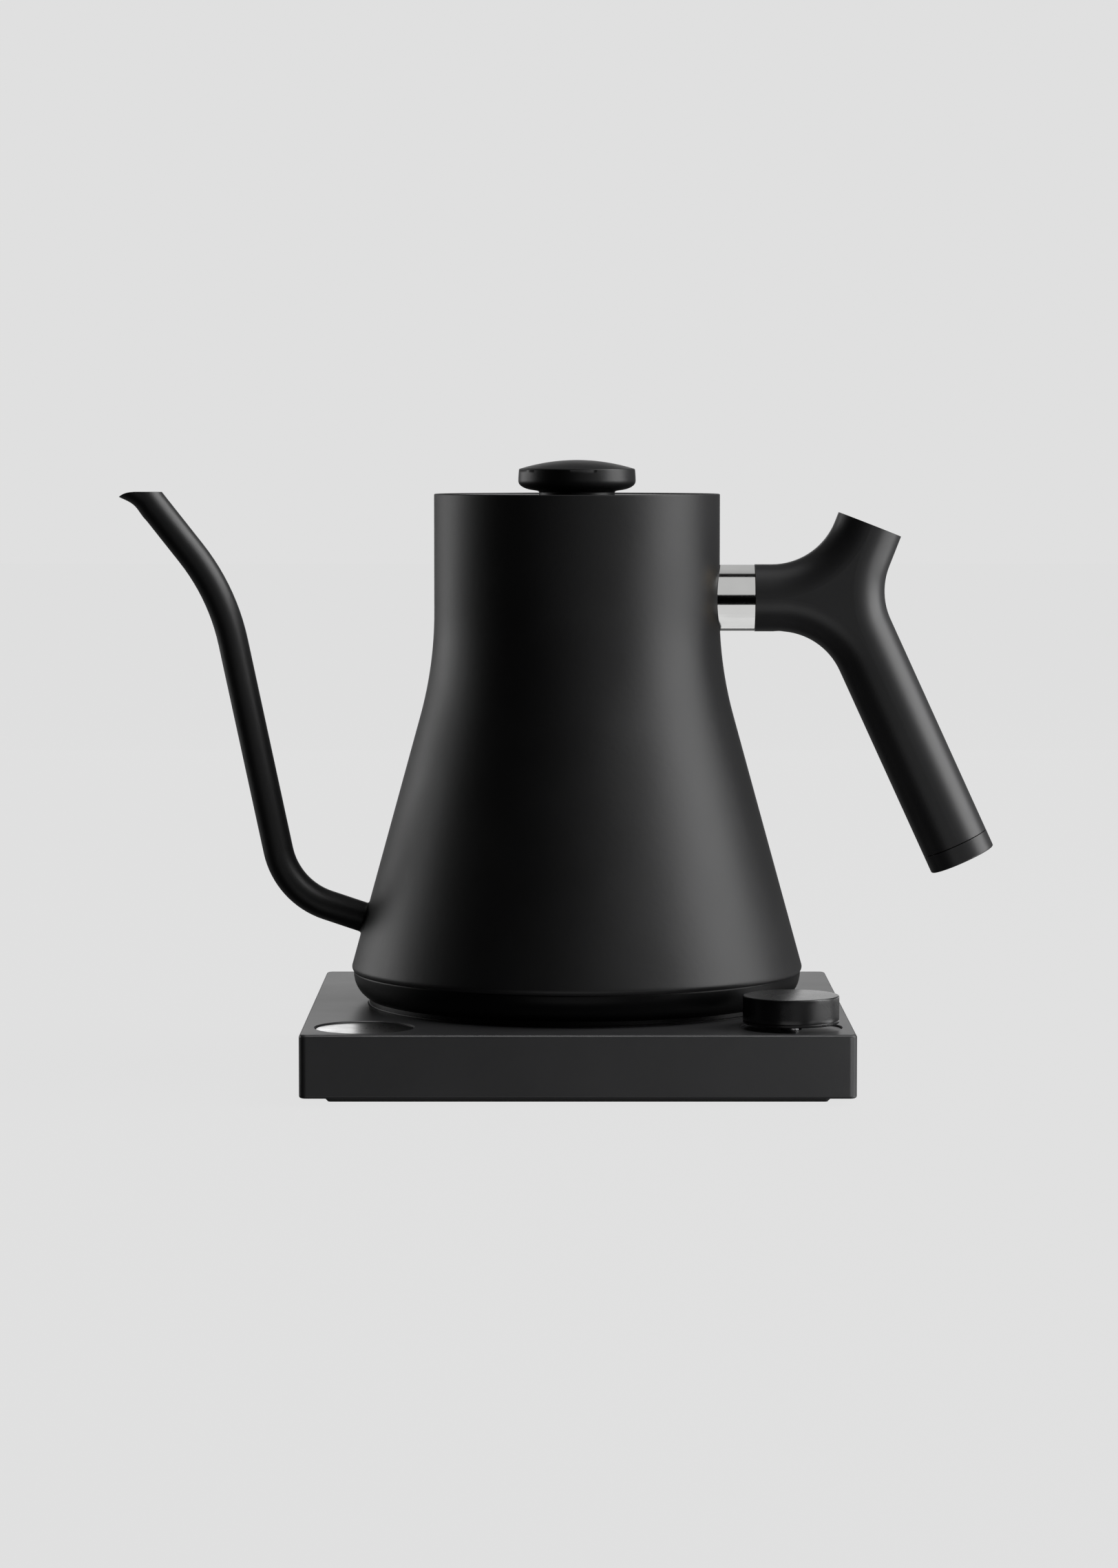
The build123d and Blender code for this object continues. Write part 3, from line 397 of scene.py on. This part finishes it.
def makeSeam(name, look, around=96, steps=8):
    # a hollow fillet between a tube and the wall, followed round the line where they meet
    rootDepth, backDepth = 0.0004, 0.0003   # its back, hidden inside the wall and the tube
    along = Vector(look["along"]).normalized()
    side = Vector((0, 1, 0))
    up = along.cross(side)
    start = Vector(look["start"])
    rows = []
    for k in range(around):
        a = 2 * pi * k / around
        out = side * cos(a) + up * sin(a)
        foot = start + out * look["radius"]
        meet = foot + along * onWall(foot, along)
        far = start + out * (look["radius"] + look["width"])
        onSkin = far + along * onWall(far, along)
        onTube = meet + along * look["width"]
        root = (meet + onSkin) / 2 - along * rootDepth - out * rootDepth / 2
        curve = []
        for i in range(steps + 1):
            t = i / steps
            curve.append(onSkin * (1 - t) ** 2 + meet * 2 * t * (1 - t) + onTube * t ** 2)
        rows.append(curve + [onTube - out * backDepth, root])
    return newPiece(name, looped(rows), "matt_coat", "kettle")


post = dict(
    thick=0.0015,
    edge=0.0002,        # chamfer at the handle
    root=0.0004,        # how far the tube sinks into the wall
    around=160,
)


def makePost():
    # a short polished tube between the curved wall and the handle
    low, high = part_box("handle_post")
    radius, height = (high.y - low.y) / 2, (low.z + high.z) / 2
    inner = radius - post["thick"]
    rows = []
    for k in range(post["around"]):
        a = 2 * pi * k / post["around"]
        out = Vector((0, cos(a), sin(a)))
        rootX = sqrt(vessel["neck"] ** 2 - (radius * cos(a)) ** 2) - post["root"]
        line = [(rootX, inner), (rootX, radius), (high.x - post["edge"], radius)]
        line += [(high.x, radius - post["edge"]), (high.x, inner)]
        rows.append([Vector((x, 0, height)) + out * r for x, r in line])
    tube = newPiece("postTube", looped(rows), "post_polish", "kettle")
    # the dull coat round it keeps no mirror image of it
    tube.visible_glossy = False
    tube.visible_diffuse = False
    return tube


dial = dict(
    crown=0.00012,      # the top is a little higher in the middle
    edge=0.0005,        # rounding of the top edge
    foot=0.0003,        # rounding of the lower edge
    groove=0.00022,     # radius of the fine line near the lower edge
    grooveUp=0.0009,
    wall=0.0016,
    roof=0.0024,
    corner=0.0006,      # hollow corner under the roof
    boss=0.0052,        # radius of the boss round the shaft
    bossEdge=0.0005,    # chamfer of its end
    lip=0.0002,         # chamfer inside the lower edge
    axle=0.0002,        # radius at which the outline stops short of the axis
    around=160,
)


def makeDial():
    low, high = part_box("dial_knob")
    d = dial
    centre = ((low.x + high.x) / 2, (low.y + high.y) / 2)
    radius = (high.x - low.x) / 2
    bottom, top = low.z, high.z - d["crown"]
    grooveZ = bottom + d["grooveUp"]
    flat = radius - d["edge"]
    under = top - d["roof"]
    inside = radius - d["wall"]
    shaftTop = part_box("dial_shaft")[1].z - d["axle"]
    # up the side
    soft = d["foot"] / 3
    outline = [(radius - d["foot"], bottom), (radius - soft, bottom + soft), (radius, bottom + d["foot"])]
    outline += [(radius, grooveZ - d["groove"])]
    outline += arc((radius, grooveZ), d["groove"], 265, 95, 8)
    outline += [(radius, grooveZ + d["groove"] + 0.00005)]
    outline += between((radius, grooveZ + 0.0004), (radius, top - d["edge"]), 6)
    # over the crowned top to the axis
    outline += arc((flat, top - d["edge"]), d["edge"], 0, 84, 8)
    outline += [(flat * (1 - i / 12), top + d["crown"] * (1 - (1 - i / 12) ** 2)) for i in range(1, 12)]
    outline += [(d["axle"], high.z)]
    # down round the shaft, and back out under the roof
    outline += [(d["axle"], shaftTop), (d["boss"] - d["bossEdge"], shaftTop)]
    outline += [(d["boss"], shaftTop - d["bossEdge"]), (d["boss"], under)]
    outline += [(inside - d["corner"], under)]
    outline += arc((inside - d["corner"], under - d["corner"]), d["corner"], 90, 0, 5)
    outline += [(inside, bottom + d["lip"]), (inside + d["lip"], bottom)]
    return newPiece("dialCap", turned(outline, d["around"], centre), "dial_black", "dial")


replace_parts(makeVesselCoat(), "vessel_body")
makeVesselLining()
for name, look in seams.items():
    makeSeam(name, look)
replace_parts(makePost(), "handle_post")
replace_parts(makeDial(), "dial_knob")
print("vessel wall, seams, post and dial made")

stage = dict(
    grey=0.745,         # brightness of the paper
    reach=7.0,          # from the middle to each edge
    soak=0.02,          # how much of the studio's light the paper gives back
    added=0.008,        # brightness which that adds to it
)


def makeFloor():
    half = stage["reach"]
    mesh = bpy.data.meshes.new("floor")
    corners = [(-half, -half, 0), (half, -half, 0), (half, half, 0), (-half, half, 0)]
    mesh.from_pydata(corners, [], [(0, 1, 2, 3)])
    floor = bpy.data.objects.new("floor", mesh)
    bpy.context.scene.collection.objects.link(floor)
    floor.location.z = -0.0002   # just under the mat
    mat, tree, bsdf = newMaterial("floorPaper")
    fibre = noise(tree, place(tree), 0.002, 3)
    paper = (stage["soak"],) * 3
    tree.links.new(tint(tree, fibre, shade(paper, 0.98), paper), bsdf.inputs["Base Color"])
    bsdf.inputs["Roughness"].default_value = 1.0
    bsdf.inputs["Specular IOR Level"].default_value = 0.0
    bsdf.inputs["Emission Color"].default_value = (1, 1, 1, 1)
    bsdf.inputs["Emission Strength"].default_value = stage["grey"] - stage["added"]
    mesh.materials.append(mat)
    # the bounce panels light the kettle from below, so the paper itself doesn't
    floor.visible_diffuse = False
    floor.visible_glossy = False
    floor.visible_shadow = False


studio = dict(
    front=0.0,          # brightness of the room on the camera's side
    back=0.116,         # and behind the kettle
    ring=1.6,           # radius of the sphere on which the softboxes stand
    middle=0.1,         # height of its centre
)


def makeWorld():
    # the kettle sees a dim room, and the backdrop is as pale as the paper
    world = bpy.data.worlds.new("studio")
    bpy.context.scene.world = world
    world.use_nodes = True
    tree = world.node_tree
    room = tree.nodes["Background"]
    coords = addNode(tree, "ShaderNodeTexCoord")
    axes = addNode(tree, "ShaderNodeSeparateXYZ")
    tree.links.new(coords.outputs["Generated"], axes.inputs["Vector"])
    # it brightens from the kettle's sides towards the back
    depth = spread(tree, axes.outputs["Y"], studio["front"], studio["back"], -0.1, 0.5)
    tree.links.new(depth, room.inputs["Color"])
    seen = addNode(tree, "ShaderNodeBackground")
    seen.inputs["Color"].default_value = (stage["grey"],) * 3 + (1,)
    path = addNode(tree, "ShaderNodeLightPath")
    mix = addNode(tree, "ShaderNodeMixShader")
    tree.links.new(path.outputs["Is Camera Ray"], mix.inputs["Fac"])
    tree.links.new(room.outputs["Background"], mix.inputs[1])
    tree.links.new(seen.outputs["Background"], mix.inputs[2])
    tree.links.new(mix.outputs["Shader"], tree.nodes["World Output"].inputs["Surface"])


# round the object: bearing from the front towards the handle, height angle, width, height and power
softboxes = dict(
    keyHigh=(90, 42, 0.9, 0.9, 16.5),
    keyLevel=(82, 8, 1.3, 0.75, 11.2),
    keyBounce=(80, -28, 1.9, 0.8, 12.5),
    frontHigh=(45, 42, 0.9, 0.9, 2.6),
    frontLevel=(18, 5, 1.0, 0.75, 0.44),
    frontBounce=(0, -28, 1.2, 0.8, 1.9),
    rimLeft=(-120, 8, 1.1, 0.75, 4.8),
    backLevel=(180, 8, 0.83, 0.75, 1.7),
    top=(0, 88, 1.1, 1.1, 2.0),
)


def addPanel(name, at, aim, size, power):
    light = bpy.data.lights.new(name, "AREA")
    light.shape = "RECTANGLE"
    light.size, light.size_y = size
    light.energy = power
    panel = bpy.data.objects.new(name, light)
    bpy.context.scene.collection.objects.link(panel)
    panel.location = at
    panel.rotation_mode = "QUATERNION"
    panel.rotation_quaternion = (Vector(aim) - Vector(at)).to_track_quat("-Z", "Y")
    panel.visible_camera = False
    return panel


def makeSoftboxes():
    # they light everything but the polished post, which has cards of its own
    others = bpy.data.collections.new("notThePost")
    others.objects.link(bpy.data.objects["postTube"])
    others.collection_objects[0].light_linking.link_state = "EXCLUDE"
    aim = Vector((0, 0, studio["middle"]))
    for name, (bearing, climb, width, height, power) in softboxes.items():
        b, c = radians(bearing), radians(climb)
        at = aim + Vector((sin(b) * cos(c), -cos(b) * cos(c), sin(c))) * studio["ring"]
        panel = addPanel(name, at, aim, (width, height), power)
        panel.light_linking.receiver_collection = others


# small cards, each lighting one piece only: position, aim, width, height and power
cards = {
    "postTube": [
        ((0.053, -0.2475, 0.405), (0.053, 0, 0.1575), 0.6, 0.46, 0.5),
        ((0.053, 0.234, 0.4175), (0.053, 0, 0.1575), 0.6, 0.53, 0.38),
        ((0.053, -0.017, 0.1415), (0.053, -0.015, 0.1575), 0.05, 0.042, 0.0047),
    ],
    "base_housing": [
        ((0.28, -0.42, 0.03), (0.03, -0.07, 0.02), 0.16, 0.16, 0.45),
        ((0.05, -0.2, 0.55), (0.03, -0.07, 0.02), 0.5, 0.2, 1.4),
    ],
    "display_lens": [
        ((-0.2, 0.7, 0.27), (-0.07, -0.07, 0.02), 0.6, 0.4, 1.6),
    ],
    "spout": [
        ((1.02, -0.71, 1.02), (-0.12, 0, 0.15), 0.7, 0.7, 8.0),
    ],
    "handle_grip": [
        ((1.34, -0.86, 0.68), (0.12, 0, 0.11), 0.7, 0.7, 2.6),
    ],
    "dialCap": [
        ((0.3, 0.2, 0.04), (0.068, -0.068, 0.028), 0.35, 0.08, 0.09),
    ],
}


def makeCards():
    for name, rows in cards.items():
        only = bpy.data.collections.new(name + "Only")
        only.objects.link(bpy.data.objects.get(name) or nodes[name])
        for i, (at, aim, width, height, power) in enumerate(rows):
            card = addPanel(name + "Card" + str(i + 1), at, aim, (width, height), power)
            card.light_linking.receiver_collection = only


shot = dict(
    lens=103.35,        # in mm
    sensor=36,
    place=(-0.00597, -1.49766, 0.20497),
    down=4.186,         # tilt in degrees
)


def makeCamera():
    lens = bpy.data.cameras.new("camera")
    lens.lens = shot["lens"]
    lens.sensor_width = shot["sensor"]
    camera = bpy.data.objects.new("camera", lens)
    bpy.context.scene.collection.objects.link(camera)
    camera.location = shot["place"]
    camera.rotation_euler = (radians(90 - shot["down"]), 0, 0)
    bpy.context.scene.camera = camera


makeFloor()
makeWorld()
makeSoftboxes()
makeCards()
makeCamera()
bpy.context.scene.view_settings.view_transform = "Standard"
print("stage, light and camera set")
